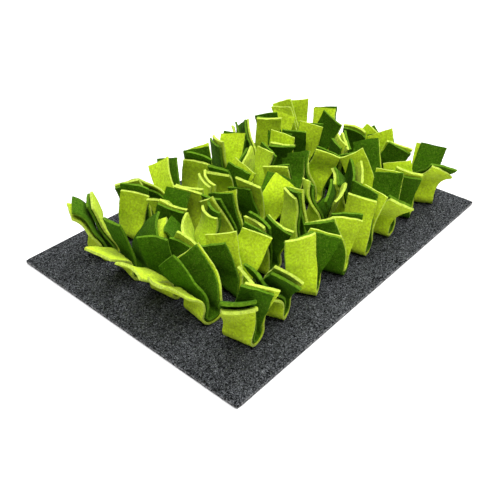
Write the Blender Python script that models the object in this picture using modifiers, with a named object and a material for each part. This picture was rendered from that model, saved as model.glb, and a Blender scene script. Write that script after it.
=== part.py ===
"""A snuffle mat: a felt base with rows of folded felt strips sewn on, so their ends stand up in a thicket.

Every tuft is two felt strips, one inside the other. Each strip is folded into a U along the mat and sewn down
at its fold, which leaves four free ends: left outer, left inner, right inner and right outer. An end rises from
the fold, is pinched in above it, and then turns, leans, tilts and curls its own way. No two ends may meet, so
each is planted in the first pose that is clear, and then all are combed toward the poses they would like.

Frame: origin at the middle of the base's underside, +X along the mat, +Y across it, +Z up. Metres, degrees.
"""
import math

import bmesh
import bpy
import numpy as np
from mathutils.bvhtree import BVHTree

# base
BASE_LENGTH = 0.450
BASE_WIDTH = 0.321
BASE_THICK = 0.004
CORNER_RADIUS = 0.004

# strips and their fold
FELT = 0.003
STRIP_WIDTH = 0.032
END_LENGTH = 0.078
SEAM_HALF = 0.002
LAYER_STEP = 0.0043
PINCH_LENGTH = 0.026
SEAT_GAP = 0.0003
CLEARANCE = 0.0004
SEAM_BLOCK = (0.003, 0.026, 0.0024)

# layout: rows along X, tufts along Y
ROWS = 8
TUFTS = 5
ROW_PITCH = 0.0485
TUFT_PITCH = 0.052
FIELD_CENTRE = (0.012, -0.001)
SEED = 11

# where the cross sections of an end lie: as shares of its fold, and as shares of its free part
FOLD_SHARES = (0.0, 0.5, 1.0)
FREE_SHARES = (0.17, 0.38, 0.66, 1.0)
SUBSTEPS = 4

# shares of the free part over which the turn and the tilt come in, where the curl starts and how it grows, and
# how many waves the free part has
TURN_IN = 0.6
TILT_IN = 0.45
CURL_FROM = 0.25
CURL_POWER = 1.6
WAVE_LENGTHS = 0.9

# how uneven the sewing is: most and least, or standard deviation, in degrees and metres
YAW_MOST = 14
FRONT_YAW = 20
FOLD_RADIUS = (0.0082, 0.0104)
SEAM_JITTER = (0.002, 0.003)
BULGE_RANGE = (6, 20)
LENGTH_SPREAD = 0.002

# the seeded poses: standard deviations in degrees of a tuft, a side of it and a single end
TUFT_TURN = 22
SIDE_TURN, SIDE_LEAN, SIDE_TILT, SIDE_WAVE = 20, 15, 19, 9
END_TURN, END_LEAN, END_TILT, END_CURL = 9, 6, 9, 20
MEAN_LEAN, MEAN_CURL, MOST_CURL = 12, 10, 35
LAYER_SPREAD = 4

# slow drifts of the poses over the mat: degrees, seed and size of a swell; and extra degrees at its four rims
TURN_DRIFT = (25, 1, 0.07)
LEAN_DRIFT = (12, 2, 0.12)
TILT_DRIFT = (9, 3, 0.12)
RIM_LEAN = {"left": 22, "right": -8}
RIM_TILT = {0: -16, TUFTS - 1: 14}
SWELL_WAVES = 5
SWELL_PITCH = (0.8, 1.6)

# the order of the angles in a pose
TURN, LEAN, TILT, CURL = range(4)

# planting: tries for each share of the wish, and how far each angle of the last of them may stray, in degrees
WISH_SHARES = (1, 0.5, 0)
PLANT_TRIES = 220
STRAY = np.array([50, 35, 35, 25])
PLANT_SEED = 5

# combing: passes over the mat, shares of a move that are tried, and the least move worth trying, in degrees
PASSES = 4
MOVE_SHARES = (1, 0.5, 0.25)
LEAST_MOVE = 0.5
COMB_SEED = 3

# outer and inner strip of each tuft, L for lime and D for dark green: a line for each row, a word for each tuft
COLOURS = (
    "LD LD LD LD LD",
    "LD DL DL DL LD",
    "LD LD LD LL DL",
    "DL LD DL LD LD",
    "LD LD LD DL DL",
    "LD LD DL DL LD",
    "DL LD DL DL LD",
    "LD DL DL DL LL",
)

# ends posed one by one: row, tuft, side, layer, then turn, lean, tilt and curl
POSED = """
0 0 left  outer  40  40  -5   5
0 0 left  inner   0  10 -20   5
0 0 right inner  18 -18 -20   0
0 0 right outer  18 -16 -20   0
0 1 left  outer  15  48  28  14
0 1 left  inner  20  15  42   5
0 1 right inner  40  10  35   5
0 1 right outer  40  12  35   5
0 2 left  outer  10  50  -4   0
0 2 left  inner  40   5   5   5
0 3 left  outer  10  52 -10  15
0 3 left  inner  10  15   5   5
0 4 left  outer -30  25   0  35
0 4 left  inner -30  20   0  35
0 4 right inner -30 -25   0 -20
0 4 right outer -30 -25   0 -20
1 0 left  outer -40  35   0   5
1 0 left  inner -35  30   0   5
1 0 right inner -10 -30 -30   0
1 0 right outer -10 -25 -30   0
1 1 left  outer  35  15  18   0
1 1 left  inner  35   0  10   0
1 1 right inner  40  10 -20   5
1 3 left  outer  20   0 -20   5
1 4 left  outer  32   0 -20   0
1 4 left  inner  30  -5  -6   0
1 4 right inner  20   0 -10   0
1 4 right outer  25 -10  15   0
2 0 left  outer  35   0   5   5
2 0 right inner   0 -10 -25   5
2 1 left  outer -15   5  -5   5
2 1 right inner   5 -10 -25  10
2 3 left  outer  30   5  -5   5
3 0 left  inner  20  10  20   5
3 0 right inner  20 -25 -10   0
3 0 right outer  20 -20 -10   0
3 1 left  outer -20   0  10   5
3 1 right inner   0 -10  20   5
3 4 left  outer  25   5 -15   5
4 0 left  outer  10   0  -5   5
4 0 right inner -25   0   0  10
4 0 right outer -15  15 -10   5
4 1 left  outer -30   0  20   5
4 2 left  outer  15 -10  10   5
4 4 left  inner -30 -10   5  30
5 0 left  outer   5  30 -25  10
5 0 right outer  10  15   0   5
5 2 right inner  25   0 -20   5
6 0 left  outer  10  15 -10   5
6 0 right inner  15   0  15   5
6 1 left  outer  30  -5  25   5
6 1 right inner  10   0  20   5
6 3 left  outer  40  10   0   0
6 3 right inner  40   0 -10   5
6 4 left  outer  30   5  -5   5
7 0 left  outer   5  20 -25   5
7 0 right inner -30  35 -15  10
7 0 right outer -10  25   0   5
7 1 left  outer  10  20 -20   5
7 1 right inner  10 -10  15  25
7 3 left  outer  10 -10 -20   5
7 3 right inner  30   5  10   5
7 4 left  outer   0   0  20   5
"""

LIME = (0.38, 0.55, 0.012)
DARK_GREEN = (0.035, 0.13, 0.008)
CHARCOAL = (0.055, 0.060, 0.060)
FELT_ROUGHNESS = 0.95


def ease(t):
    """Goes smoothly from 0 to 1 as t does: 3t^2 - 2t^3."""
    t = np.clip(t, 0, 1)
    return t * t * (3 - 2 * t)


def swell(x, y, degrees, seed, size):
    """A smooth bump field over the mat, in degrees: a sum of plane waves in seeded directions.

    Waves that don't line up sum to about the square root of their number, so the sum is divided by that.
    """
    chance = np.random.default_rng(seed)
    total = 0
    for _ in range(SWELL_WAVES):
        heading = chance.uniform(0, 2 * math.pi)
        pitch = size * chance.uniform(*SWELL_PITCH)
        phase = chance.uniform(0, 2 * math.pi)
        total += math.sin(2 * math.pi * (x * math.cos(heading) + y * math.sin(heading)) / pitch + phase)
    return degrees * total / math.sqrt(SWELL_WAVES)


def fold_length(end):
    """Arc length from the seam to where the free part starts: the flat, then the fold's bend."""
    return SEAM_HALF + end["radius"] * (math.pi / 2 + math.radians(end["bulge"]))


def stations(end):
    """Arc lengths of the cross sections of an end."""
    bend = fold_length(end)
    on_fold = [SEAM_HALF + (bend - SEAM_HALF) * share for share in FOLD_SHARES]
    on_free = [bend + (end["length"] - bend) * share for share in FREE_SHARES]
    return on_fold + on_free


def sweep(end, pose, arc):
    """Centre line, width direction and face normal of an end at each arc length.

    The climb angle rises to a right angle plus the bulge round the fold, falls back through the pinch by the
    bulge and the lean, and by the curl toward the tip, and a slow wave bends it to and fro. The turn is a yaw
    that comes in over the lower part, and the tilt rolls the strip about its own normal. The centre line is the
    tangent summed along the arc. The inner layer of a tuft lies a step inside that line.
    """
    turn, lean, tilt, curl = (math.radians(angle) for angle in pose)
    bulge = math.radians(end["bulge"])
    above = arc - fold_length(end)
    share = np.clip(above / (end["length"] - fold_length(end)), 0, 1)
    climb = np.clip((arc - SEAM_HALF) / end["radius"], 0, math.pi / 2 + bulge)
    climb = climb - (bulge + lean) * ease(above / PINCH_LENGTH)
    climb = climb - curl * np.clip((share - CURL_FROM) / (1 - CURL_FROM), 0, 1) ** CURL_POWER
    wave, phase = end["wave"]
    to_and_fro = np.sin(2 * math.pi * WAVE_LENGTHS * share + phase)
    climb = climb + math.radians(wave) * to_and_fro * ease(share / TILT_IN)
    yaw = math.radians(end["yaw"]) + turn * ease(share / TURN_IN)
    roll = tilt * ease(share / TILT_IN)
    out = 1 if end["side"] == "right" else -1
    along = np.stack([out * np.cos(climb) * np.cos(yaw), out * np.cos(climb) * np.sin(yaw), np.sin(climb)], 1)
    across = np.stack([-np.sin(yaw), np.cos(yaw), 0 * arc], 1)
    tangent = np.cos(roll)[:, None] * along + np.sin(roll)[:, None] * across
    width = np.cos(roll)[:, None] * across - np.sin(roll)[:, None] * along
    steps = 0.5 * (tangent[1:] + tangent[:-1]) * np.diff(arc)[:, None]
    centre = np.vstack([np.zeros((1, 3)), np.cumsum(steps, 0)]) + end["foot"]
    normal = np.cross(tangent, width)
    if end["layer"] == "inner":
        centre = centre + out * LAYER_STEP * normal
    return centre, width, normal


def sections(end, pose, every=SUBSTEPS):
    """The sweep at the end's stations, or between them too, worked out on a finer arc."""
    marks = stations(end)
    arc = [0.0]
    for low, high in zip(marks[:-1], marks[1:]):
        arc.extend(np.linspace(low, high, SUBSTEPS, endpoint=False))
    arc.append(marks[-1])
    return [values[1::every] for values in sweep(end, pose, np.array(arc))]


def envelope(end, pose, every):
    """Corners of an end's cross sections, four to a section, with half the clearance added all round.

    The coarse shape is made of flat lengths, so its normal at a section is the mean of those on each side.
    """
    centre, width, normal = sections(end, pose, every)
    if every == SUBSTEPS:
        faces = np.cross(np.diff(centre, axis=0), width[1:] + width[:-1])
        faces /= np.linalg.norm(faces, axis=1)[:, None]
        normal = np.vstack([normal[:1], faces[1:] + faces[:-1], faces[-1:]])
        normal /= np.linalg.norm(normal, axis=1)[:, None]
    half_width = (STRIP_WIDTH + CLEARANCE) / 2
    half_thick = (FELT + CLEARANCE) / 2
    corners = [centre + u * half_width * width + v * half_thick * normal
               for u, v in ((-1, -1), (1, -1), (1, 1), (-1, 1))]
    return np.stack(corners, 1)


def hull(end, pose, every):
    """The end's space: a search tree of its triangles, in millimetres, its least and most, and its free height.

    A twisted strip's quads aren't flat, so the diagonal matters: as in the strip's own triangles, it climbs
    toward +Y on the right of a tuft and toward -Y on the left.
    """
    shape = envelope(end, pose, every)
    last = 4 * (len(shape) - 1)
    turned = 0 if end["side"] == "right" else 1
    faces = []
    for start in range(0, last, 4):
        for c in range(4):
            a, b, d, e = start + c, start + (c + 1) % 4, start + 4 + (c + 1) % 4, start + 4 + c
            falls = turned == c // 2 % 2
            faces += [(a, b, d), (a, d, e)] if falls else [(a, b, e), (b, d, e)]
    faces += [(0, 1, 2), (0, 2, 3), (last, last + 1, last + 2), (last, last + 2, last + 3)]
    found = BVHTree.FromPolygons((shape.reshape(-1, 3) * 1000).tolist(), faces, all_triangles=True)
    return found, shape.min((0, 1)), shape.max((0, 1)), shape[-len(FREE_SHARES):, :, 2].min()


def lay_out():
    """Every end of every tuft, with the pose it would like: from the table, its mate's there, or seeded."""
    posed = {}
    for line in POSED.strip().splitlines():
        row, tuft, side, layer, *angles = line.split()
        posed[int(row), int(tuft), side, layer] = [float(angle) for angle in angles]
    chance = np.random.default_rng(SEED)
    ends = []
    for row in range(ROWS):
        for tuft in range(TUFTS):
            x = FIELD_CENTRE[0] + (row - (ROWS - 1) / 2) * ROW_PITCH
            y = FIELD_CENTRE[1] + (tuft - (TUFTS - 1) / 2) * TUFT_PITCH
            yaw = chance.uniform(-YAW_MOST, YAW_MOST) + (FRONT_YAW if tuft == 0 else 0)
            radius = chance.uniform(*FOLD_RADIUS)
            seam = [middle + chance.uniform(-most, most) for middle, most in zip((x, y), SEAM_JITTER)]
            tuft_turn = swell(x, y, *TURN_DRIFT) + chance.normal(0, TUFT_TURN)
            for side, out in (("left", -1), ("right", 1)):
                side_lean = out * swell(x, y, *LEAN_DRIFT) + chance.normal(MEAN_LEAN, SIDE_LEAN)
                side_tilt = swell(x, y, *TILT_DRIFT) + chance.normal(RIM_TILT.get(tuft, 0), SIDE_TILT)
                side_turn = tuft_turn + chance.normal(0, SIDE_TURN)
                if row == (0 if side == "left" else ROWS - 1):
                    side_lean += RIM_LEAN[side]
                bulge = chance.uniform(*BULGE_RANGE)
                wave = chance.normal(0, SIDE_WAVE), chance.uniform(0, 2 * math.pi)
                for layer, spread in (("inner", -LAYER_SPREAD), ("outer", LAYER_SPREAD)):
                    wish = [
                        side_turn + chance.normal(0, END_TURN),
                        side_lean + chance.normal(spread, END_LEAN),
                        side_tilt + chance.normal(0, END_TILT),
                        min(chance.normal(MEAN_CURL, END_CURL), MOST_CURL),
                    ]
                    key = (row, tuft, side, layer)
                    mate = (row, tuft, side, "outer" if layer == "inner" else "inner")
                    ends.append({
                        "key": key, "side": side, "layer": layer, "yaw": yaw, "radius": radius,
                        "bulge": bulge, "wave": wave,
                        "foot": np.array([seam[0], seam[1], BASE_THICK + SEAT_GAP + FELT / 2]),
                        "length": chance.normal(END_LENGTH, LENGTH_SPREAD),
                        "pose": np.zeros(4),
                        "wish": np.array(posed.get(key, posed.get(mate, wish)), float),
                        "rank": 0 if key in posed else 1 if mate in posed else 2,
                    })
    return ends


class Field:
    """The space that planted ends take, coarse and smooth: search trees, and the least and most of each.

    The coarse shapes are compared first, and then the smooth ones, each kind with its own.
    """

    def __init__(self, count):
        self.trees = [[None] * count, [None] * count]
        self.low = np.full((2, count, 3), np.inf)
        self.high = np.full((2, count, 3), -np.inf)

    def put(self, ends, trial):
        """Puts the ends into their trial poses if there they are clear of all others, and of each other."""
        found = {}
        for kind, every in enumerate((SUBSTEPS, SUBSTEPS // 2)):
            for n, pose in trial.items():
                tree, least, most, free = hull(ends[n], pose, every)
                if free < BASE_THICK + SEAT_GAP:
                    return False
                near = np.nonzero((self.low[kind] < most).all(1) & (self.high[kind] > least).all(1))[0]
                if any(m not in trial and tree.overlap(self.trees[kind][m]) for m in near):
                    return False
                if any(tree.overlap(other[0]) for key, other in found.items() if key[1] == kind):
                    return False
                found[n, kind] = tree, least, most
        for (n, kind), (tree, least, most) in found.items():
            ends[n]["pose"] = trial[n]
            self.trees[kind][n], self.low[kind][n], self.high[kind][n] = tree, least, most
        return True


def plant(ends, field):
    """Plants the two layers of every side in the first poses that are clear, near what they would like.

    Sides from the table are planted first. The start is the whole wish, then half of it, then upright. A side
    that finds no room is planted again together with the other side of its tuft.
    """
    order = sorted(range(0, len(ends), 2), key=lambda n: (min(ends[n]["rank"], ends[n + 1]["rank"]), n))
    for n in order:
        tuft = n - n % 4
        for sides in ((n,), (tuft, tuft + 2)):
            if any(try_places(ends, field, sides, share) for share in WISH_SHARES):
                break
        else:
            raise ValueError(f"no room to plant {ends[n]['key']}")


def try_places(ends, field, sides, share):
    """Tries the sides in this share of their wishes, plus a stray that grows from nothing, until one is clear.

    Every other try gives both layers of a side the wish of the leading one, which keeps them side by side.
    """
    chance = np.random.default_rng([PLANT_SEED, *sides, round(share * 10)])
    for attempt in range(PLANT_TRIES):
        trial = {}
        for side in sides:
            ranks = ends[side]["rank"], ends[side + 1]["rank"]
            stray = chance.uniform(-1, 1, 4) * STRAY * attempt / PLANT_TRIES
            lead = side + (ranks[1] <= ranks[0])
            for end in (side, side + 1):
                trial[end] = ends[lead if attempt % 2 else end]["wish"] * share + stray
        if field.put(ends, trial):
            return True
    return False


def comb(ends):
    """Plants the ends, and combs every one toward its wish while it meets no other.

    The four ends of a tuft move together first, then the two layers of a side, then the end alone, one angle
    at a time. A move is the first that is clear of the whole way and smaller shares of it. Ends from the table
    go first.
    """
    field = Field(len(ends))
    plant(ends, field)
    chance = np.random.default_rng(COMB_SEED)
    for _ in range(PASSES):
        moved = 0
        order = sorted(chance.permutation(len(ends)), key=lambda n: ends[n]["rank"])
        done = set()
        for n in order:
            tuft, side = n - n % 4, n - n % 2
            for group in (range(tuft, tuft + 4), range(side, side + 2), range(n, n + 1)):
                if group in done:
                    continue
                done.add(group)
                for angle in (LEAN, TURN, TILT, CURL):
                    rest = {m: (ends[m]["wish"] - ends[m]["pose"]) * (np.arange(4) == angle) for m in group}
                    if max(abs(way).max() for way in rest.values()) < LEAST_MOVE:
                        continue
                    moved += any(field.put(ends, {m: ends[m]["pose"] + share * rest[m] for m in group})
                                 for share in MOVE_SHARES)
        if not moved:
            break
    return ends


def material(name, colour):
    made = bpy.data.materials.new(name)
    made.use_nodes = True
    shader = made.node_tree.nodes["Principled BSDF"]
    shader.inputs["Base Color"].default_value = (*colour, 1)
    shader.inputs["Roughness"].default_value = FELT_ROUGHNESS
    shader.inputs["Metallic"].default_value = 0
    return made


def place(name, mesh, collection):
    made = bpy.data.objects.new(name, mesh)
    collection.objects.link(made)
    return made


def ribbon(name, left, right, look, collection):
    """A strip from its left tip through the seam to its right tip: a flat ribbon given the felt's thickness."""
    rows = []
    for end, order in ((left, -1), (right, 1)):
        centre, width, _ = sections(end, end["pose"])
        edges = np.stack([centre - STRIP_WIDTH / 2 * width, centre + STRIP_WIDTH / 2 * width], 1)
        rows.extend(edges[::order])
    mesh = bpy.data.meshes.new(name)
    shape = bmesh.new()
    edges = [[shape.verts.new(corner) for corner in row] for row in rows]
    for (a, b), (c, d) in zip(edges[:-1], edges[1:]):
        shape.faces.new((a, c, d))
        shape.faces.new((a, d, b))
    shape.to_mesh(mesh)
    shape.free()
    mesh.materials.append(look)
    strip = place(name, mesh, collection)
    thick = strip.modifiers.new("felt thickness", "SOLIDIFY")
    thick.thickness = FELT
    thick.offset = 0
    return strip


def seam_block(name, left, look, collection):
    """The stitched seam between the two layers of a tuft, let into both of them."""
    bpy.ops.mesh.primitive_cube_add(size=1)
    block = bpy.context.object
    block.name = name
    for vertex in block.data.vertices:
        vertex.co = [share * side for share, side in zip(vertex.co, SEAM_BLOCK)]
    x, y, height = left["foot"]
    block.location = (x, y, height + LAYER_STEP / 2)
    block.rotation_euler = (0, 0, math.radians(left["yaw"]))
    block.data.materials.append(look)
    for home in list(block.users_collection):
        home.objects.unlink(block)
    collection.objects.link(block)
    return block


def join(target, others):
    """Unions the others into the target and keeps the plain mesh that comes out."""
    for other in others:
        union = target.modifiers.new("union", "BOOLEAN")
        union.operation = "UNION"
        union.solver = "EXACT"
        union.object = other
        union.material_mode = "TRANSFER"
    bpy.context.view_layer.update()
    graph = bpy.context.evaluated_depsgraph_get()
    whole = bpy.data.meshes.new_from_object(target.evaluated_get(graph))
    target.modifiers.clear()
    target.data = whole
    for other in others:
        bpy.data.objects.remove(other)


def base_mat(look, collection):
    """The base: a flat felt sheet whose four upright corner edges are slightly rounded."""
    mesh = bpy.data.meshes.new("base_mat")
    shape = bmesh.new()
    bmesh.ops.create_cube(shape, size=1)
    for vertex in shape.verts:
        vertex.co.x *= BASE_LENGTH
        vertex.co.y *= BASE_WIDTH
        vertex.co.z = (vertex.co.z + 0.5) * BASE_THICK
    upright = [edge for edge in shape.edges
               if abs(edge.verts[0].co.z - edge.verts[1].co.z) > BASE_THICK / 2]
    bmesh.ops.bevel(shape, geom=upright, offset=CORNER_RADIUS, segments=3, profile=0.5, affect="EDGES")
    shape.to_mesh(mesh)
    shape.free()
    mesh.materials.append(look)
    return place("base_mat", mesh, collection)


def main():
    for old in list(bpy.data.objects):
        bpy.data.objects.remove(old)
    parts = bpy.data.collections.new("snuffle_mat")
    tools = bpy.data.collections.new("cutters")
    bpy.context.scene.collection.children.link(parts)
    bpy.context.scene.collection.children.link(tools)
    looks = {"L": material("lime_felt", LIME), "D": material("dark_green_felt", DARK_GREEN)}
    base_mat(material("charcoal_felt", CHARCOAL), parts)
    ends = {end["key"]: end for end in comb(lay_out())}
    for row in range(ROWS):
        for tuft in range(TUFTS):
            strips = []
            for layer, letter in zip(("outer", "inner"), COLOURS[row].split()[tuft]):
                left, right = (ends[row, tuft, side, layer] for side in ("left", "right"))
                home = parts if layer == "outer" else tools
                strips.append(ribbon(f"tuft_{row}_{tuft}", left, right, looks[letter], home))
            block = seam_block("seam", ends[row, tuft, "left", "inner"], looks["D"], tools)
            join(strips[0], [strips[1], block])


main()
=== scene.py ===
# %% [markdown]
# # A snuffle mat in felt
# A snuffle mat is a feeding toy for dogs and cats: dry treats are scattered among standing strips of felt, and
# the animal noses them out. This one has a charcoal felt base and forty tufts. Every tuft is two strips, one
# inside the other, folded into a U and sewn down at the fold, so four ends stand up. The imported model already
# holds the base and the tufts as plain solids. This lesson gives them their looks: cut edges, soft wavy faces,
# fibres, flecks, and the uneven poses that hand cutting and sewing leave behind.

# %% Load the frame
import math

import bpy
import numpy as np
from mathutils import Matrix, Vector
from mathutils.bvhtree import BVHTree


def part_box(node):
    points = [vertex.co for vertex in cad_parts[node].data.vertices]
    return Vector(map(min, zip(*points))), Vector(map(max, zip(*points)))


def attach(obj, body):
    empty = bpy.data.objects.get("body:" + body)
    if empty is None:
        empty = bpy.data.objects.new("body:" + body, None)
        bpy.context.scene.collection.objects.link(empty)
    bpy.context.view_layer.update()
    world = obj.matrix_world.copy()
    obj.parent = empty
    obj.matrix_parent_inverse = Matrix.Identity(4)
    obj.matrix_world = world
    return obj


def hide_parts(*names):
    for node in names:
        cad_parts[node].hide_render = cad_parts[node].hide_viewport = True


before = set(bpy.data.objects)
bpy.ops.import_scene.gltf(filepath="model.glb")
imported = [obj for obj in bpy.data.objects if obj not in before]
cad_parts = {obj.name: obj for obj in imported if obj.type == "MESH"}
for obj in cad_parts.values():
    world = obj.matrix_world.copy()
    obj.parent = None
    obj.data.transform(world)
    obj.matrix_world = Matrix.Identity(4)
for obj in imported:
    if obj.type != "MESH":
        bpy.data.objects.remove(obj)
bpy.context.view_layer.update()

base_low, base_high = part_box("base_mat")
print("base of the mat in mm:", [round(1000 * side) for side in base_high - base_low])

# %% [markdown]
# ## The sizes of the felt
# The visible strips lie exactly where the solid tufts are, so the cutting sizes, the rows and the poses are the
# same as the ones the solids were made from. A few named sizes describe a whole field of strips.

# %% Sizes
# base
BASE_LENGTH = 0.450
BASE_WIDTH = 0.321
BASE_THICK = 0.004

# strips and their fold
FELT = 0.003
STRIP_WIDTH = 0.032
END_LENGTH = 0.078
SEAM_HALF = 0.002
LAYER_STEP = 0.0043
PINCH_LENGTH = 0.026
SEAT_GAP = 0.0003
CLEARANCE = 0.0004

# layout: rows along X, tufts along Y
ROWS = 8
TUFTS = 5
ROW_PITCH = 0.0485
TUFT_PITCH = 0.052
FIELD_CENTRE = (0.012, -0.001)
SEED = 11

# where the cross sections of an end lie: as shares of its fold, and as shares of its free part
FOLD_SHARES = (0.0, 0.5, 1.0)
FREE_SHARES = (0.17, 0.38, 0.66, 1.0)
SUBSTEPS = 4

# shares of the free part over which the turn and the tilt come in, where the curl starts and how it grows, and
# how many waves the free part has
TURN_IN = 0.6
TILT_IN = 0.45
CURL_FROM = 0.25
CURL_POWER = 1.6
WAVE_LENGTHS = 0.9

# how uneven the sewing is: most and least, or standard deviation, in degrees and metres
YAW_MOST = 14
FRONT_YAW = 20
FOLD_RADIUS = (0.0082, 0.0104)
SEAM_JITTER = (0.002, 0.003)
BULGE_RANGE = (6, 20)
LENGTH_SPREAD = 0.002

# the seeded poses: standard deviations in degrees of a tuft, a side of it and a single end
TUFT_TURN = 22
SIDE_TURN, SIDE_LEAN, SIDE_TILT, SIDE_WAVE = 20, 15, 19, 9
END_TURN, END_LEAN, END_TILT, END_CURL = 9, 6, 9, 20
MEAN_LEAN, MEAN_CURL, MOST_CURL = 12, 10, 35
LAYER_SPREAD = 4

# slow drifts of the poses over the mat: degrees, seed and size of a swell; and extra degrees at its four rims
TURN_DRIFT = (25, 1, 0.07)
LEAN_DRIFT = (12, 2, 0.12)
TILT_DRIFT = (9, 3, 0.12)
RIM_LEAN = {"left": 22, "right": -8}
RIM_TILT = {0: -16, TUFTS - 1: 14}
SWELL_WAVES = 5
SWELL_PITCH = (0.8, 1.6)

# the order of the angles in a pose
TURN, LEAN, TILT, CURL = range(4)

# planting: tries for each share of the wish, and how far each angle of the last of them may stray, in degrees
WISH_SHARES = (1, 0.5, 0)
PLANT_TRIES = 220
STRAY = np.array([50, 35, 35, 25])
PLANT_SEED = 5

# combing: passes over the mat, shares of a move that are tried, and the least move worth trying, in degrees
PASSES = 4
MOVE_SHARES = (1, 0.5, 0.25)
LEAST_MOVE = 0.5
COMB_SEED = 3

# outer and inner strip of each tuft, L for lime and D for dark green: a line for each row, a word for each tuft
COLOURS = (
    "LD LD LD LD LD",
    "LD DL DL DL LD",
    "LD LD LD LL DL",
    "DL LD DL LD LD",
    "LD LD LD DL DL",
    "LD LD DL DL LD",
    "DL LD DL DL LD",
    "LD DL DL DL LL",
)

# %% [markdown]
# ## How every end stands
# Felt cut and sewn by hand never stands in order. A few ends that show well get their own line in a table: how
# far they turn, lean, tilt and curl. The others get theirs from a seeded random draw, with slow swells over the
# mat, so that neighbours agree a little, as strips that push on each other do.

# %% Poses
# ends posed one by one: row, tuft, side, layer, then turn, lean, tilt and curl
POSED = """
0 0 left  outer  40  40  -5   5
0 0 left  inner   0  10 -20   5
0 0 right inner  18 -18 -20   0
0 0 right outer  18 -16 -20   0
0 1 left  outer  15  48  28  14
0 1 left  inner  20  15  42   5
0 1 right inner  40  10  35   5
0 1 right outer  40  12  35   5
0 2 left  outer  10  50  -4   0
0 2 left  inner  40   5   5   5
0 3 left  outer  10  52 -10  15
0 3 left  inner  10  15   5   5
0 4 left  outer -30  25   0  35
0 4 left  inner -30  20   0  35
0 4 right inner -30 -25   0 -20
0 4 right outer -30 -25   0 -20
1 0 left  outer -40  35   0   5
1 0 left  inner -35  30   0   5
1 0 right inner -10 -30 -30   0
1 0 right outer -10 -25 -30   0
1 1 left  outer  35  15  18   0
1 1 left  inner  35   0  10   0
1 1 right inner  40  10 -20   5
1 3 left  outer  20   0 -20   5
1 4 left  outer  32   0 -20   0
1 4 left  inner  30  -5  -6   0
1 4 right inner  20   0 -10   0
1 4 right outer  25 -10  15   0
2 0 left  outer  35   0   5   5
2 0 right inner   0 -10 -25   5
2 1 left  outer -15   5  -5   5
2 1 right inner   5 -10 -25  10
2 3 left  outer  30   5  -5   5
3 0 left  inner  20  10  20   5
3 0 right inner  20 -25 -10   0
3 0 right outer  20 -20 -10   0
3 1 left  outer -20   0  10   5
3 1 right inner   0 -10  20   5
3 4 left  outer  25   5 -15   5
4 0 left  outer  10   0  -5   5
4 0 right inner -25   0   0  10
4 0 right outer -15  15 -10   5
4 1 left  outer -30   0  20   5
4 2 left  outer  15 -10  10   5
4 4 left  inner -30 -10   5  30
5 0 left  outer   5  30 -25  10
5 0 right outer  10  15   0   5
5 2 right inner  25   0 -20   5
6 0 left  outer  10  15 -10   5
6 0 right inner  15   0  15   5
6 1 left  outer  30  -5  25   5
6 1 right inner  10   0  20   5
6 3 left  outer  40  10   0   0
6 3 right inner  40   0 -10   5
6 4 left  outer  30   5  -5   5
7 0 left  outer   5  20 -25   5
7 0 right inner -30  35 -15  10
7 0 right outer -10  25   0   5
7 1 left  outer  10  20 -20   5
7 1 right inner  10 -10  15  25
7 3 left  outer  10 -10 -20   5
7 3 right inner  30   5  10   5
7 4 left  outer   0   0  20   5
"""


def ease(t):
    """Goes smoothly from 0 to 1 as t does: 3t^2 - 2t^3."""
    t = np.clip(t, 0, 1)
    return t * t * (3 - 2 * t)


def swell(x, y, degrees, seed, size):
    """A smooth bump field over the mat, in degrees: a sum of plane waves in seeded directions.

    Waves that don't line up sum to about the square root of their number, so the sum is divided by that.
    """
    chance = np.random.default_rng(seed)
    total = 0
    for _ in range(SWELL_WAVES):
        heading = chance.uniform(0, 2 * math.pi)
        pitch = size * chance.uniform(*SWELL_PITCH)
        phase = chance.uniform(0, 2 * math.pi)
        total += math.sin(2 * math.pi * (x * math.cos(heading) + y * math.sin(heading)) / pitch + phase)
    return degrees * total / math.sqrt(SWELL_WAVES)


# %% [markdown]
# ## One strip as a path
# An end is a path with a width direction. The path climbs round the fold, is pinched in above it, and then
# leans and curls; a yaw turns it and a roll tilts it. Summing the tangent along the arc keeps the strip's
# length true however it bends, which a spline through guessed points would not.

# %% The path of an end
def fold_length(end):
    """Arc length from the seam to where the free part starts: the flat, then the fold's bend."""
    return SEAM_HALF + end["radius"] * (math.pi / 2 + math.radians(end["bulge"]))


def stations(end):
    """Arc lengths of the cross sections of an end."""
    bend = fold_length(end)
    on_fold = [SEAM_HALF + (bend - SEAM_HALF) * share for share in FOLD_SHARES]
    on_free = [bend + (end["length"] - bend) * share for share in FREE_SHARES]
    return on_fold + on_free


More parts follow.
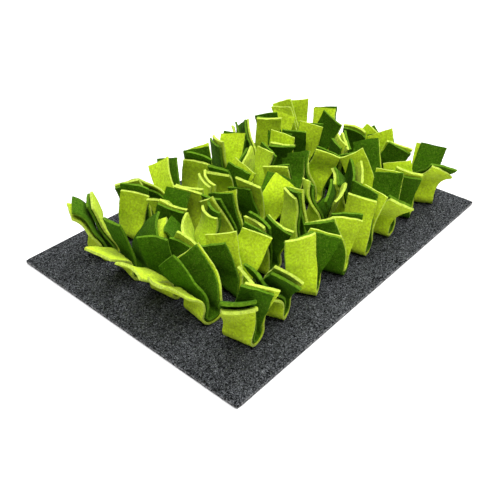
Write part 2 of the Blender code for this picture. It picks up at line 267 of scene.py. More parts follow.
def sweep(end, pose, arc):
    """Centre line, width direction and face normal of an end at each arc length.

    The climb angle rises to a right angle plus the bulge round the fold, falls back through the pinch by the
    bulge and the lean, and by the curl toward the tip, and a slow wave bends it to and fro. The turn is a yaw
    that comes in over the lower part, and the tilt rolls the strip about its own normal. The centre line is the
    tangent summed along the arc. The inner layer of a tuft lies a step inside that line.
    """
    turn, lean, tilt, curl = (math.radians(angle) for angle in pose)
    bulge = math.radians(end["bulge"])
    above = arc - fold_length(end)
    share = np.clip(above / (end["length"] - fold_length(end)), 0, 1)
    climb = np.clip((arc - SEAM_HALF) / end["radius"], 0, math.pi / 2 + bulge)
    climb = climb - (bulge + lean) * ease(above / PINCH_LENGTH)
    climb = climb - curl * np.clip((share - CURL_FROM) / (1 - CURL_FROM), 0, 1) ** CURL_POWER
    wave, phase = end["wave"]
    to_and_fro = np.sin(2 * math.pi * WAVE_LENGTHS * share + phase)
    climb = climb + math.radians(wave) * to_and_fro * ease(share / TILT_IN)
    yaw = math.radians(end["yaw"]) + turn * ease(share / TURN_IN)
    roll = tilt * ease(share / TILT_IN)
    out = 1 if end["side"] == "right" else -1
    along = np.stack([out * np.cos(climb) * np.cos(yaw), out * np.cos(climb) * np.sin(yaw), np.sin(climb)], 1)
    across = np.stack([-np.sin(yaw), np.cos(yaw), 0 * arc], 1)
    tangent = np.cos(roll)[:, None] * along + np.sin(roll)[:, None] * across
    width = np.cos(roll)[:, None] * across - np.sin(roll)[:, None] * along
    steps = 0.5 * (tangent[1:] + tangent[:-1]) * np.diff(arc)[:, None]
    centre = np.vstack([np.zeros((1, 3)), np.cumsum(steps, 0)]) + end["foot"]
    normal = np.cross(tangent, width)
    if end["layer"] == "inner":
        centre = centre + out * LAYER_STEP * normal
    return centre, width, normal


def sections(end, pose, every=SUBSTEPS):
    """The sweep at the end's stations, or between them too, worked out on a finer arc."""
    marks = stations(end)
    arc = [0.0]
    for low, high in zip(marks[:-1], marks[1:]):
        arc.extend(np.linspace(low, high, SUBSTEPS, endpoint=False))
    arc.append(marks[-1])
    return [values[1::every] for values in sweep(end, pose, np.array(arc))]


def envelope(end, pose, every):
    """Corners of an end's cross sections, four to a section, with half the clearance added all round.

    The coarse shape is made of flat lengths, so its normal at a section is the mean of those on each side.
    """
    centre, width, normal = sections(end, pose, every)
    if every == SUBSTEPS:
        faces = np.cross(np.diff(centre, axis=0), width[1:] + width[:-1])
        faces /= np.linalg.norm(faces, axis=1)[:, None]
        normal = np.vstack([normal[:1], faces[1:] + faces[:-1], faces[-1:]])
        normal /= np.linalg.norm(normal, axis=1)[:, None]
    half_width = (STRIP_WIDTH + CLEARANCE) / 2
    half_thick = (FELT + CLEARANCE) / 2
    corners = [centre + u * half_width * width + v * half_thick * normal
               for u, v in ((-1, -1), (1, -1), (1, 1), (-1, 1))]
    return np.stack(corners, 1)


def hull(end, pose, every):
    """The end's space: a search tree of its triangles, in millimetres, its least and most, and its free height.

    A twisted strip's quads aren't flat, so the diagonal matters: as in the strip's own triangles, it climbs
    toward +Y on the right of a tuft and toward -Y on the left.
    """
    shape = envelope(end, pose, every)
    last = 4 * (len(shape) - 1)
    turned = 0 if end["side"] == "right" else 1
    faces = []
    for start in range(0, last, 4):
        for c in range(4):
            a, b, d, e = start + c, start + (c + 1) % 4, start + 4 + (c + 1) % 4, start + 4 + c
            falls = turned == c // 2 % 2
            faces += [(a, b, d), (a, d, e)] if falls else [(a, b, e), (b, d, e)]
    faces += [(0, 1, 2), (0, 2, 3), (last, last + 1, last + 2), (last, last + 2, last + 3)]
    found = BVHTree.FromPolygons((shape.reshape(-1, 3) * 1000).tolist(), faces, all_triangles=True)
    return found, shape.min((0, 1)), shape.max((0, 1)), shape[-len(FREE_SHARES):, :, 2].min()


# %% Every end of every tuft
def lay_out():
    """Every end of every tuft, with the pose it would like: from the table, its mate's there, or seeded."""
    posed = {}
    for line in POSED.strip().splitlines():
        row, tuft, side, layer, *angles = line.split()
        posed[int(row), int(tuft), side, layer] = [float(angle) for angle in angles]
    chance = np.random.default_rng(SEED)
    ends = []
    for row in range(ROWS):
        for tuft in range(TUFTS):
            x = FIELD_CENTRE[0] + (row - (ROWS - 1) / 2) * ROW_PITCH
            y = FIELD_CENTRE[1] + (tuft - (TUFTS - 1) / 2) * TUFT_PITCH
            yaw = chance.uniform(-YAW_MOST, YAW_MOST) + (FRONT_YAW if tuft == 0 else 0)
            radius = chance.uniform(*FOLD_RADIUS)
            seam = [middle + chance.uniform(-most, most) for middle, most in zip((x, y), SEAM_JITTER)]
            tuft_turn = swell(x, y, *TURN_DRIFT) + chance.normal(0, TUFT_TURN)
            for side, out in (("left", -1), ("right", 1)):
                side_lean = out * swell(x, y, *LEAN_DRIFT) + chance.normal(MEAN_LEAN, SIDE_LEAN)
                side_tilt = swell(x, y, *TILT_DRIFT) + chance.normal(RIM_TILT.get(tuft, 0), SIDE_TILT)
                side_turn = tuft_turn + chance.normal(0, SIDE_TURN)
                if row == (0 if side == "left" else ROWS - 1):
                    side_lean += RIM_LEAN[side]
                bulge = chance.uniform(*BULGE_RANGE)
                wave = chance.normal(0, SIDE_WAVE), chance.uniform(0, 2 * math.pi)
                for layer, spread in (("inner", -LAYER_SPREAD), ("outer", LAYER_SPREAD)):
                    wish = [
                        side_turn + chance.normal(0, END_TURN),
                        side_lean + chance.normal(spread, END_LEAN),
                        side_tilt + chance.normal(0, END_TILT),
                        min(chance.normal(MEAN_CURL, END_CURL), MOST_CURL),
                    ]
                    key = (row, tuft, side, layer)
                    mate = (row, tuft, side, "outer" if layer == "inner" else "inner")
                    ends.append({
                        "key": key, "side": side, "layer": layer, "yaw": yaw, "radius": radius,
                        "bulge": bulge, "wave": wave,
                        "foot": np.array([seam[0], seam[1], BASE_THICK + SEAT_GAP + FELT / 2]),
                        "length": chance.normal(END_LENGTH, LENGTH_SPREAD),
                        "pose": np.zeros(4),
                        "wish": np.array(posed.get(key, posed.get(mate, wish)), float),
                        "rank": 0 if key in posed else 1 if mate in posed else 2,
                    })
    return ends


# %% [markdown]
# ## Planting and combing
# Two strips can't be in one place. Cloth simulation could sort that out, but a hundred and sixty stiff strips
# take it minutes and give another tangle each time a value changes. Planting and combing is quicker and always
# the same: each side of a tuft is planted in the first pose that is clear, close to the one it would like. Then
# all are combed, which moves each toward its wish only as far as it stays clear of the others.

# %% Plant and comb
class Field:
    """The space that planted ends take, coarse and smooth: search trees, and the least and most of each.

    The coarse shapes are compared first, and then the smooth ones, each kind with its own.
    """

    def __init__(self, count):
        self.trees = [[None] * count, [None] * count]
        self.low = np.full((2, count, 3), np.inf)
        self.high = np.full((2, count, 3), -np.inf)

    def put(self, ends, trial):
        """Puts the ends into their trial poses if there they are clear of all others, and of each other."""
        found = {}
        for kind, every in enumerate((SUBSTEPS, SUBSTEPS // 2)):
            for n, pose in trial.items():
                tree, least, most, free = hull(ends[n], pose, every)
                if free < BASE_THICK + SEAT_GAP:
                    return False
                near = np.nonzero((self.low[kind] < most).all(1) & (self.high[kind] > least).all(1))[0]
                if any(m not in trial and tree.overlap(self.trees[kind][m]) for m in near):
                    return False
                if any(tree.overlap(other[0]) for key, other in found.items() if key[1] == kind):
                    return False
                found[n, kind] = tree, least, most
        for (n, kind), (tree, least, most) in found.items():
            ends[n]["pose"] = trial[n]
            self.trees[kind][n], self.low[kind][n], self.high[kind][n] = tree, least, most
        return True


def plant(ends, field):
    """Plants the two layers of every side in the first poses that are clear, near what they would like.

    Sides from the table are planted first. The start is the whole wish, then half of it, then upright. A side
    that finds no room is planted again together with the other side of its tuft.
    """
    order = sorted(range(0, len(ends), 2), key=lambda n: (min(ends[n]["rank"], ends[n + 1]["rank"]), n))
    for n in order:
        tuft = n - n % 4
        for sides in ((n,), (tuft, tuft + 2)):
            if any(try_places(ends, field, sides, share) for share in WISH_SHARES):
                break
        else:
            raise ValueError(f"no room to plant {ends[n]['key']}")


def try_places(ends, field, sides, share):
    """Tries the sides in this share of their wishes, plus a stray that grows from nothing, until one is clear.

    Every other try gives both layers of a side the wish of the leading one, which keeps them side by side.
    """
    chance = np.random.default_rng([PLANT_SEED, *sides, round(share * 10)])
    for attempt in range(PLANT_TRIES):
        trial = {}
        for side in sides:
            ranks = ends[side]["rank"], ends[side + 1]["rank"]
            stray = chance.uniform(-1, 1, 4) * STRAY * attempt / PLANT_TRIES
            lead = side + (ranks[1] <= ranks[0])
            for end in (side, side + 1):
                trial[end] = ends[lead if attempt % 2 else end]["wish"] * share + stray
        if field.put(ends, trial):
            return True
    return False


def comb(ends):
    """Plants the ends, and combs every one toward its wish while it meets no other.

    The four ends of a tuft move together first, then the two layers of a side, then the end alone, one angle
    at a time. A move is the first that is clear of the whole way and smaller shares of it. Ends from the table
    go first.
    """
    field = Field(len(ends))
    plant(ends, field)
    chance = np.random.default_rng(COMB_SEED)
    for _ in range(PASSES):
        moved = 0
        order = sorted(chance.permutation(len(ends)), key=lambda n: ends[n]["rank"])
        done = set()
        for n in order:
            tuft, side = n - n % 4, n - n % 2
            for group in (range(tuft, tuft + 4), range(side, side + 2), range(n, n + 1)):
                if group in done:
                    continue
                done.add(group)
                for angle in (LEAN, TURN, TILT, CURL):
                    rest = {m: (ends[m]["wish"] - ends[m]["pose"]) * (np.arange(4) == angle) for m in group}
                    if max(abs(way).max() for way in rest.values()) < LEAST_MOVE:
                        continue
                    moved += any(field.put(ends, {m: ends[m]["pose"] + share * rest[m] for m in group})
                                 for share in MOVE_SHARES)
        if not moved:
            break
    return ends


NEAR_WISH = 10
ends = {end["key"]: end for end in comb(lay_out())}
reached = [abs(end["wish"] - end["pose"]).max() < NEAR_WISH for end in ends.values()]
print("ends:", len(ends), "and of these within", NEAR_WISH, "degrees of the pose they wished for:", sum(reached))

# %% [markdown]
# ## Felt that looks cut
# A felt strip is a slab with crisp cut edges, but no slab is perfect: the shears wander, the tip is cut a
# little askew, and the faces swell and cup. The cross section is a rectangle with rounded corners, worked out
# as one array round the section. It's carried along the path as a grid of points: one parameter goes along the
# strip from tip to tip and the other round the section.

# %% Grid resolution and the unevenness of the cutting
# rows along an end, columns over a face and over a cut edge, the last row's distance from the tip
ALONG = 52
ROUND = (11, 3)
LAST_CUT = 0.0003

# rounding of a section's corners, and the inset of the middle of the arc as a share of it
CORNER = 0.0006
ARC_INSET = 0.3

# tip: standard deviation and most of its slope, and how far down the strip it's felt
SKEW = (0.12, 0.2)
SKEW_REACH = 0.016

# edges: how far they wander, in how many waves, how deep they are nibbled, how close to an edge the nibbles
# stay, and the spread of the width
WANDER = 0.0006
WANDER_WAVES = (0.6, 2.6)
NIBBLE = 0.00012
NIBBLE_POWER = 8
WIDTH_SPREAD = 0.015

# faces: depth of the cup that both layers share, the share of it that is a layer's own, and where across it's
# level; then height of the lumps, their waves along in radians to a metre, over half the width and aslant, and
# how strongly a strip's own cup and skew shift them
CUP = 0.0016
OWN_CUP = 0.5
CUP_LEVEL = 0.4
LUMP_HEIGHT = 0.00025
LUMP_ALONG, LUMP_ACROSS, LUMP_SLANT = 410, 5, 3
LUMP_SHIFTS = (6, 2)


def cross_section():
    """Points round a strip's section, as shares: across from -1 to 1, through from -1 to 1, and a cut-edge mask.

    The rectangle is walked face, edge, face, edge. Its corners are drawn in along both sides by the rounding,
    and each face has a second column one rounding further in, which keeps the shading flat up to the corner.
    """
    face, side = ROUND
    bend = CORNER / (STRIP_WIDTH / 2)
    deep = CORNER / (FELT / 2)
    flat = np.concatenate([[bend - 1], np.linspace(2 * bend - 1, 1 - 2 * bend, face - 2), [1 - bend]])
    across = np.concatenate([[ARC_INSET * bend - 1], flat, [1 - ARC_INSET * bend]])
    drop = np.concatenate([[1 - ARC_INSET * deep], np.ones(face), [1 - ARC_INSET * deep]])
    edge = np.linspace(1 - deep, -1 + deep, side)
    a = np.concatenate([across, np.ones(side), across[::-1], -np.ones(side)])
    b = np.concatenate([drop, edge, -drop, -edge])
    mask = np.zeros(len(a))
    mask[face + 2:face + 2 + side] = 1
    mask[2 * face + 4 + side:] = 1
    return a, b, mask


def ripple(chance, values, waves=4):
    """Smooth uneven line: the mean of a few sines over values from 0 to 1, with chance pitches and phases."""
    pitch, phase = chance.uniform(*WANDER_WAVES, waves), chance.uniform(0, 2 * math.pi, waves)
    return np.sin(2 * math.pi * values[:, None] * pitch + phase).mean(1)


def end_grid(end, seed):
    """Points of one end from the seam to its tip, a row for each arc length and a column round the section.

    Each point is the path's point, plus the width direction times its place across, plus the normal times its
    place through the felt. Across, the edges wander and are nibbled by the shears. Through, the face cups and
    swells. The tip is sheared along the path by its place across, and its cut wanders too.
    """
    row, tuft = end["key"][:2]
    side = np.random.default_rng([seed, row, tuft, end["side"] == "left"])
    chance = np.random.default_rng([seed, row, tuft, end["side"] == "left", end["layer"] == "inner"])
    skew = np.clip(chance.normal(0, SKEW[0]), -SKEW[1], SKEW[1])
    half = STRIP_WIDTH / 2 * chance.normal(1, WIDTH_SPREAD)
    cup = side.normal(0, CUP) + OWN_CUP * chance.normal(0, CUP)
    tip = end["length"]
    arc = np.append(np.linspace(0, tip - LAST_CUT, ALONG), tip)
    centre, width, normal = sweep(end, end["pose"], arc)
    tangent = np.cross(width, normal)
    inward = normal if end["side"] == "right" else -normal
    a, b, mask = cross_section()
    free = ease((arc - fold_length(end)) / (tip - fold_length(end)))[:, None]
    fade = ease(arc / fold_length(end))[:, None]
    edges = []
    for _ in range(2):
        rough = chance.normal(0, NIBBLE, len(arc))[:, None]
        edges.append(fade * (WANDER * ripple(chance, arc / tip)[:, None] + rough * abs(a) ** NIBBLE_POWER))
    across = half * a + np.where(a > 0, *edges)
    bow = cup * free * (a ** 2 - CUP_LEVEL)
    shift_along, shift_across = LUMP_SHIFTS[0] * cup / CUP, LUMP_SHIFTS[1] * skew
    lumps = np.sin(LUMP_ALONG * arc[:, None] + LUMP_SLANT * a + shift_along)
    lumps = lumps * np.cos(LUMP_ACROSS * a + shift_across)
    through = FELT / 2 * b + bow + LUMP_HEIGHT * lumps * b
    near_tip = np.clip((arc - (tip - SKEW_REACH)) / SKEW_REACH, 0, 1)[:, None] ** 2
    slide = near_tip * (skew * half * a + WANDER * ripple(chance, (a + 1) / 2))
    return (centre[:, None] + across[..., None] * width[:, None] + through[..., None] * inward[:, None]
            + slide[..., None] * tangent[:, None])


# %% The mesh of a strip
def put_mesh(name, points, faces, cut, rim=()):
    """A mesh from arrays, with the mask of its cut edges kept as the point attribute cut_edge.

    The edges between two points that are both in the rim are creases: the shading breaks there.
    """
    mesh = bpy.data.meshes.new(name)
    mesh.from_pydata(points.reshape(-1, 3), [], faces)
    mask = mesh.attributes.new("cut_edge", "FLOAT", "POINT")
    mask.data.foreach_set("value", cut.ravel().astype(np.float32))
    mesh.polygons.foreach_set("use_smooth", np.ones(len(mesh.polygons), bool))
    ends_of_edges = np.empty(2 * len(mesh.edges), np.int32)
    mesh.edges.foreach_get("vertices", ends_of_edges)
    crease = mesh.attributes.new("sharp_edge", "BOOLEAN", "EDGE")
    crease.data.foreach_set("value", np.isin(ends_of_edges, rim).reshape(-1, 2).all(1))
    mesh.update()
    piece = bpy.data.objects.new(name, mesh)
    bpy.context.scene.collection.objects.link(piece)
    return piece


def tube_faces(rows, columns):
    """Quads between neighbouring rows of a grid whose columns close on themselves."""
    r, c = np.meshgrid(np.arange(rows - 1), np.arange(columns), indexing="ij")
    after = (c + 1) % columns
    quads = [r * columns + c, (r + 1) * columns + c, (r + 1) * columns + after, r * columns + after]
    return np.stack(quads, -1).reshape(-1, 4)


def cap_faces(start, inside_out):
    """Closes one end of the strip: quads from the top face to the bottom one, and a small fan at each edge."""
    face, side = ROUND[0] + 2, ROUND[1]
    columns = 2 * (face + side)
    top = np.arange(face)
    low = 2 * face + side - 1 - top
    quads = np.stack([top[:-1], top[1:], low[1:], low[:-1]], -1) + start
    right = np.arange(face - 1, face + side + 1) + start
    left = (np.arange(2 * face + side - 1, columns + 1) % columns) + start
    faces = [list(quad) for quad in quads] + [list(right), list(left)]
    return [each[::-1] for each in faces] if inside_out else faces


def strip(name, left, right):
    """A whole strip from its left tip through the seam to its right tip, as one closed mesh.

    The two ends share the row at the seam.
    """
    grid = np.concatenate([end_grid(left, 1)[::-1], end_grid(right, 2)[1:]])
    _, _, mask = cross_section()
    cut = np.tile(mask, (len(grid), 1))
    cut[0] = cut[-1] = 1
    rows, columns = grid.shape[:2]
    faces = [list(quad) for quad in tube_faces(rows, columns)]
    last_row = (rows - 1) * columns
    faces += cap_faces(0, False) + cap_faces(last_row, True)
    tips = np.concatenate([np.arange(columns), last_row + np.arange(columns)])
    return put_mesh(name, grid, faces, cut, tips)


# %% [markdown]
# ## Sewing on the tufts
# Every strip is its own piece, so it can be told apart, picked and coloured. Its flat size is what was cut:
# one strip's width by the length of its two ends. The solid tuft stays for collisions and is hidden.

# %% Strips
strips = {}
for row in range(ROWS):
    for tuft in range(TUFTS):
        for layer in ("outer", "inner"):
            left, right = (ends[row, tuft, side, layer] for side in ("left", "right"))
            strips[row, tuft, layer] = strip(f"strip_{row}_{tuft}_{layer}", left, right)
print("strips:", len(strips), "faces:", sum(len(piece.data.polygons) for piece in strips.values()))

# %% [markdown]
# ## The base
# The base is a die-cut sheet of thick needle felt. It's a closed grid too: across its section in one direction
# and along the mat in the other. Needle felt isn't dead flat, so its top swells by a fraction of a millimetre,
# while its underside stays flat on the floor. Its four corners are barely rounded.

# %% Base
BASE_STEP = 0.004
BASE_ROUND = 0.0009
BASE_CORNER_CUT = 0.0006
RIM_REACH = 0.003

# swells of the top: height, distance from the rim over which they come in, pitches, and seed
BASE_SWELL = 0.0003
BASE_FADE = 0.006
BASE_PITCHES = (0.03, 0.045, 0.07, 0.11)
BASE_SEED = 5


def base_sheet():
    """Two grids of points, for the top and the underside of the base.

    Top height is the thickness plus a mean of plane waves that fades out at the rim. The points on the rim are
    drawn in by the rounding, and those at the corners a little more.
    """
    length, width = BASE_LENGTH / 2, BASE_WIDTH / 2
    x = np.linspace(-length, length, round(BASE_LENGTH / BASE_STEP) + 1)
    y = np.linspace(-width, width, round(BASE_WIDTH / BASE_STEP) + 1)
    gx, gy = np.meshgrid(x, y, indexing="ij")
    chance = np.random.default_rng(BASE_SEED)
    swells = np.zeros_like(gx)
    for pitch in BASE_PITCHES:
        heading, phase = chance.uniform(0, math.pi), chance.uniform(0, 2 * math.pi)
        waves = np.sin(2 * math.pi * (gx * math.cos(heading) + gy * math.sin(heading)) / pitch + phase)
        swells += waves / len(BASE_PITCHES)
    inset_x, inset_y = length - np.abs(gx), width - np.abs(gy)
    inset = np.minimum(inset_x, inset_y)
    on_rim, on_corner = np.isclose(inset, 0), np.isclose(np.maximum(inset_x, inset_y), 0)
    shrink = BASE_ROUND * on_rim + BASE_CORNER_CUT * on_corner
    gx = gx - np.sign(gx) * shrink
    gy = gy - np.sign(gy) * shrink
    top = np.stack([gx, gy, BASE_THICK + BASE_SWELL * swells * np.clip(inset / BASE_FADE, 0, 1)], -1)
    under = np.stack([gx, gy, np.zeros_like(gx)], -1)
    return top, under


def base_mesh():
    """The base as one closed mesh: top, underside, and three rings of points round its cut edge."""
    top, under = base_sheet()
    nx, ny = top.shape[:2]
    cells = np.arange(nx * ny).reshape(nx, ny)
    quads = np.stack([cells[:-1, :-1], cells[1:, :-1], cells[1:, 1:], cells[:-1, 1:]], -1).reshape(-1, 4)
    rim = np.concatenate([cells[:-1, 0], cells[-1, :-1], cells[:0:-1, -1], cells[0, :0:-1]])
    around = top.reshape(-1, 3)[rim]
    centre = around.mean(0)
    at_side = np.abs(around[:, :2]) > [BASE_LENGTH / 2 - RIM_REACH, BASE_WIDTH / 2 - RIM_REACH]
    outward = np.sign(around[:, :2] - centre[:2]) * at_side
    rings = []
    for height in (BASE_THICK - BASE_ROUND, BASE_THICK / 2, BASE_ROUND):
        ring = around.copy()
        ring[:, :2] += outward * BASE_ROUND
        ring[:, 2] = height
        rings.append(ring)
    points = np.concatenate([top.reshape(-1, 3), under.reshape(-1, 3), *rings])
    count, edge = nx * ny, len(rim)
    loops = [rim, *(2 * count + k * edge + np.arange(edge) for k in range(3)), rim + count]
    faces = [quads, quads[:, ::-1] + count]
    for upper, lower in zip(loops[:-1], loops[1:]):
        after, below = np.roll(upper, -1), np.roll(lower, -1)
        faces.append(np.stack([upper, lower, below, after], -1))
    cut = np.zeros(len(points))
    cut[2 * count:] = 1
    return put_mesh("base_felt", points, np.concatenate(faces), cut)


base = base_mesh()
print("base sheet:", len(base.data.polygons), "faces")

# %% [markdown]
# ## Felt as a material
# Felt has no weave: it's a mat of tangled wool. Up close there are three scales to it: broad pale and dark
# patches where the wool was carded unevenly, a grain of fibre tufts about a millimetre across, and single
# fibres. One node group makes all three, and each colour of felt places it with its own values. Where shears
# cut the sheet, fibre ends stand out and catch the light; the cut edges are given a paler colour, a painted
# highlight for that light.


# %% Node helpers
def socket(group, name, way, kind, value=None):
    """One named socket on a node group's edge, INPUT or OUTPUT."""
    made = group.interface.new_socket(name, in_out=way, socket_type=kind)
    if value is not None:
        made.default_value = value
    return made


def add_node(tree, kind, place=(0, 0), **values):
    """A node with its properties, and its inputs by name after a leading in_."""
    node = tree.nodes.new(kind)
    node.location = place
    for key, value in values.items():
        if key.startswith("in_"):
            node.inputs[key[3:].replace("_", " ")].default_value = value
        else:
            setattr(node, key, value)
    return node


# %% The felt group
PATCH_SCALE, FIBRE_SCALE, STRAND_SCALE = 55, 1500, 330
FIBRE_TWIST, STRAND_TWIST = 1.6, 3.5
STRAND_FROM, STRAND_TO = 0.56, 0.66


def felt_group():
    """Colour and height of felt.

    Colour is the dyed colour, with a paler painted highlight on the cut edges, times a patch noise and a grain
    noise, with stray fibres of the second colour.
    Height is the grain plus finer fibres.
    """
    group = bpy.data.node_groups.new("tangled wool", "ShaderNodeTree")
    for name, kind, value in (("Dye", "NodeSocketColor", (0.5, 0.5, 0.5, 1)),
                              ("Stray Fibre", "NodeSocketColor", (0.8, 0.8, 0.8, 1)),
                              ("Painted Edge Highlight", "NodeSocketColor", (0.8, 0.8, 0.8, 1)),
                              ("Patches", "NodeSocketFloat", 0.2), ("Grain", "NodeSocketFloat", 0.3),
                              ("Fineness", "NodeSocketFloat", 400), ("Strays", "NodeSocketFloat", 0.2)):
        socket(group, name, "INPUT", kind, value)
    socket(group, "Colour", "OUTPUT", "NodeSocketColor")
    socket(group, "Height", "OUTPUT", "NodeSocketFloat")
    tree, link = group, group.links.new
    taken = add_node(tree, "NodeGroupInput", (-1400, 0))
    given = add_node(tree, "NodeGroupOutput", (900, 0))
    place = add_node(tree, "ShaderNodeTexCoord", (-1400, -400)).outputs["Object"]
    patch = add_node(tree, "ShaderNodeTexNoise", (-1100, 200), in_Scale=PATCH_SCALE, in_Detail=3)
    grain = add_node(tree, "ShaderNodeTexNoise", (-1100, -50), in_Detail=1.5, in_Roughness=0.6)
    link(taken.outputs["Fineness"], grain.inputs["Scale"])
    fibre = add_node(tree, "ShaderNodeTexNoise", (-1100, -300), in_Scale=FIBRE_SCALE, in_Detail=2,
                     in_Distortion=FIBRE_TWIST)
    strand = add_node(tree, "ShaderNodeTexNoise", (-1100, -550), in_Scale=STRAND_SCALE, in_Detail=1.5,
                      in_Distortion=STRAND_TWIST)
    for noise in (patch, grain, fibre, strand):
        link(place, noise.inputs["Vector"])

    def shade(noise, amount, spot):
        """A factor round 1 that grows with the noise: 1 + amount * (noise - 0.5) * 2."""
        off = add_node(tree, "ShaderNodeMath", spot, operation="SUBTRACT")
        off.inputs[1].default_value = 0.5
        link(noise.outputs["Fac"], off.inputs[0])
        scaled = add_node(tree, "ShaderNodeMath", (spot[0] + 180, spot[1]), operation="MULTIPLY")
        link(off.outputs[0], scaled.inputs[0])
        link(amount, scaled.inputs[1])
        lifted = add_node(tree, "ShaderNodeMath", (spot[0] + 360, spot[1]), operation="MULTIPLY_ADD")
        link(scaled.outputs[0], lifted.inputs[0])
        lifted.inputs[1].default_value = 2
        lifted.inputs[2].default_value = 1
        return lifted.outputs[0]

    both = add_node(tree, "ShaderNodeMath", (-250, 150), operation="MULTIPLY")
    link(shade(patch, taken.outputs["Patches"], (-850, 200)), both.inputs[0])
    link(shade(grain, taken.outputs["Grain"], (-850, -50)), both.inputs[1])
    dyed = add_node(tree, "ShaderNodeVectorMath", (-50, 150), operation="SCALE")
    link(both.outputs[0], dyed.inputs["Scale"])
    # painted highlight: on the mask of cut edges the dye gives way to the paler highlight colour
    cut = add_node(tree, "ShaderNodeAttribute", (-650, 420), attribute_name="cut_edge")
    rim = add_node(tree, "ShaderNodeMix", (-250, 400), data_type="RGBA")
    link(cut.outputs["Fac"], rim.inputs["Factor"])
    link(taken.outputs["Dye"], rim.inputs[6])
    link(taken.outputs["Painted Edge Highlight"], rim.inputs[7])
    link(rim.outputs[2], dyed.inputs[0])
    thin = add_node(tree, "ShaderNodeMapRange", (-650, -550))
    thin.inputs["From Min"].default_value = STRAND_FROM
    thin.inputs["From Max"].default_value = STRAND_TO
    link(strand.outputs["Fac"], thin.inputs["Value"])
    share = add_node(tree, "ShaderNodeMath", (-400, -550), operation="MULTIPLY")
    link(thin.outputs[0], share.inputs[0])
    link(taken.outputs["Strays"], share.inputs[1])
    mixed = add_node(tree, "ShaderNodeMix", (300, 100), data_type="RGBA")
    link(share.outputs[0], mixed.inputs["Factor"])
    link(dyed.outputs[0], mixed.inputs[6])
    link(taken.outputs["Stray Fibre"], mixed.inputs[7])
    link(mixed.outputs[2], given.inputs["Colour"])
    bump = add_node(tree, "ShaderNodeMath", (-250, -250), operation="ADD")
    link(grain.outputs["Fac"], bump.inputs[0])
    link(fibre.outputs["Fac"], bump.inputs[1])
    link(bump.outputs[0], given.inputs["Height"])
    return group


# %% Felt of one colour
def felt(name, wool, dye, stray, edge, patches, grain, fineness, strays, roughness, sheen, tint, depth):
    """A felt material: the group's colour on Base Color and its height through a Bump node.

    Patches, grain and strays are shares, fineness is in fibre tufts to a metre, and depth is in metres. Edge is
    the paler colour painted on the cut edges as a highlight.
    """
    made = bpy.data.materials.new(name)
    made.use_nodes = True
    tree, link = made.node_tree, made.node_tree.links.new
    shader = tree.nodes["Principled BSDF"]
    shader.inputs["Roughness"].default_value = roughness
    shader.inputs["Specular IOR Level"].default_value = 0.05
    shader.inputs["Sheen Weight"].default_value = sheen
    shader.inputs["Sheen Roughness"].default_value = 0.55
    shader.inputs["Sheen Tint"].default_value = (*tint, 1)
    place = tree.nodes.new("ShaderNodeGroup")
    place.node_tree = wool
    place.location = (-500, 0)
    for key, value in (("Dye", (*dye, 1)), ("Stray Fibre", (*stray, 1)), ("Painted Edge Highlight", (*edge, 1)),
                       ("Patches", patches), ("Grain", grain), ("Fineness", fineness), ("Strays", strays)):
        place.inputs[key].default_value = value
    bump = add_node(tree, "ShaderNodeBump", (-250, -200), in_Strength=0.6, in_Distance=depth)
    link(place.outputs["Colour"], shader.inputs["Base Color"])
    link(place.outputs["Height"], bump.inputs["Height"])
    link(bump.outputs["Normal"], shader.inputs["Normal"])
    return made


wool = felt_group()
# the third colour of each felt is a painted highlight on its cut edges, paler than the dye
lime = felt("lime felt", wool, (0.450, 0.620, 0.013), (0.60, 0.72, 0.11), (0.42, 0.55, 0.06),
            patches=0.20, grain=0.60, fineness=420, strays=0.35,
            roughness=0.95, sheen=0.14, tint=(0.9, 1.0, 0.5), depth=0.0006)
dark_green = felt("dark green felt", wool, (0.034, 0.104, 0.001), (0.19, 0.30, 0.03), (0.080, 0.180, 0.006),
                  patches=0.22, grain=0.85, fineness=420, strays=0.40,
                  roughness=0.95, sheen=0.02, tint=(0.5, 0.9, 0.3), depth=0.0006)
charcoal = felt("charcoal felt", wool, (0.0185, 0.0200, 0.0210), (0.24, 0.25, 0.27), (0.10, 0.10, 0.10),
                patches=0.50, grain=4.1, fineness=450, strays=0.65,
                roughness=0.95, sheen=0.0, tint=(1, 1, 1), depth=0.0005)

# %% [markdown]
# ## Putting it together
# Each strip takes the lime or the dark green from the colour chart and replaces its solid tuft.

# %% Assemble
SLOTS = {"L": ("lime_felt", lime), "D": ("dark_green_felt", dark_green)}
base.data.materials.append(charcoal)
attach(base, "root")
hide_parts("base_mat")
for (row, tuft, layer), piece in strips.items():
    letter = COLOURS[row].split()[tuft][layer == "inner"]
    slot_name, finish = SLOTS[letter]
    piece.data.materials.append(finish)
    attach(piece, "root")
    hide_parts(f"tuft_{row}_{tuft}")
    left, right = (ends[row, tuft, side, layer] for side in ("left", "right"))

# %% [markdown]
# ## Setting
# A plain pale floor and soft light show cloth best. A large lamp hangs above the right end of the mat and a
# smaller one above its front corner, so the tips are bright and no side of a tuft is lost in shade. The sky is
# far brighter overhead than low down, which leaves the depths between the strips dark and green; only a low
# pale wall stands round the floor.


# %% Floor, light and camera
def lamp(name, place, aim, size, power):
    """A round area lamp of this diameter and power, turned to the point it lights."""
    light = bpy.data.lights.new(name, "AREA")
    light.shape, light.size, light.energy = "DISK", size, power
    made = bpy.data.objects.new(name, light)
    made.location = place
    made.rotation_euler = (Vector(place) - Vector(aim)).to_track_quat("Z", "Y").to_euler()
    bpy.context.scene.collection.objects.link(made)
    return made


# strength of the sky at the horizon and overhead, strength of the wall, and the heights over which it fades
HORIZON, ZENITH = 0.03, 0.52
WALL, WALL_FOOT, WALL_TOP = 0.75, 0.08, 0.16
FLOOR_HALF = 12

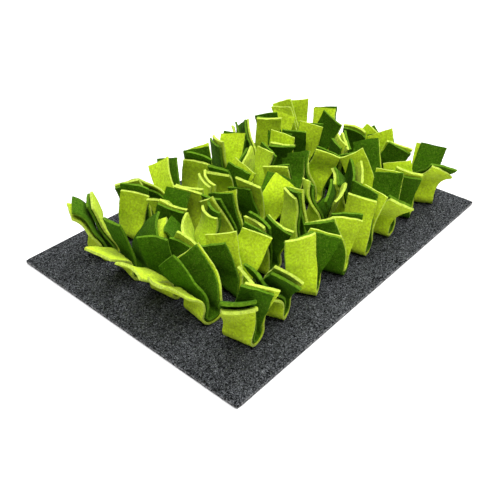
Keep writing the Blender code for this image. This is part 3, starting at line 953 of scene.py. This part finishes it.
floor_corners = [(FLOOR_HALF * x, FLOOR_HALF * y, 0) for x, y in ((-1, -1), (1, -1), (1, 1), (-1, 1))]
floor_mesh = bpy.data.meshes.new("floor")
floor_mesh.from_pydata(floor_corners, [], [(0, 1, 2, 3)])
floor = bpy.data.objects.new("floor", floor_mesh)
bpy.context.scene.collection.objects.link(floor)
paper = bpy.data.materials.new("pale floor")
paper.use_nodes = True
paper.node_tree.nodes["Principled BSDF"].inputs["Base Color"].default_value = (0.88, 0.88, 0.88, 1)
paper.node_tree.nodes["Principled BSDF"].inputs["Roughness"].default_value = 0.9
floor_mesh.materials.append(paper)

sky = bpy.data.worlds.new("studio")
bpy.context.scene.world = sky
sky.use_nodes = True
air, link = sky.node_tree, sky.node_tree.links.new
air.nodes["Background"].inputs["Color"].default_value = (1, 1, 1, 1)
heading = add_node(air, "ShaderNodeTexCoord", (-800, 0))
height = add_node(air, "ShaderNodeSeparateXYZ", (-600, 0))
glow = add_node(air, "ShaderNodeMapRange", (-400, 0), in_To_Min=HORIZON, in_To_Max=ZENITH)
link(heading.outputs["Generated"], height.inputs[0])
link(height.outputs["Z"], glow.inputs["Value"])
wall = add_node(air, "ShaderNodeMapRange", (-400, -300), in_From_Min=WALL_FOOT, in_From_Max=WALL_TOP,
                in_To_Min=WALL, in_To_Max=0)
link(height.outputs["Z"], wall.inputs["Value"])
total = add_node(air, "ShaderNodeMath", (-200, 0), operation="ADD")
link(glow.outputs[0], total.inputs[0])
link(wall.outputs[0], total.inputs[1])
link(total.outputs[0], air.nodes["Background"].inputs["Strength"])
lamp("right light", (1.1, 0.1, 1.9), (0, 0, 0), 2.4, 72)
lamp("front light", (-0.7, -0.6, 2.2), (0, 0, 0), 1.5, 46)

AZIMUTH, ELEVATION = math.radians(-48.694), math.radians(35.588)
AIM = Vector((-0.0399, -0.0126, 0))
AWAY = 0.7505
level = math.cos(ELEVATION)
back = Vector((math.sin(AZIMUTH) * level, -math.cos(AZIMUTH) * level, math.sin(ELEVATION)))
camera = bpy.data.cameras.new("camera")
camera.sensor_width, camera.lens = 36, 46.74
viewer = bpy.data.objects.new("camera", camera)
viewer.location = AIM + back * AWAY
viewer.rotation_euler = back.to_track_quat("Z", "Y").to_euler()
bpy.context.scene.collection.objects.link(viewer)
bpy.context.scene.camera = viewer
bpy.context.scene.view_settings.view_transform = "Standard"
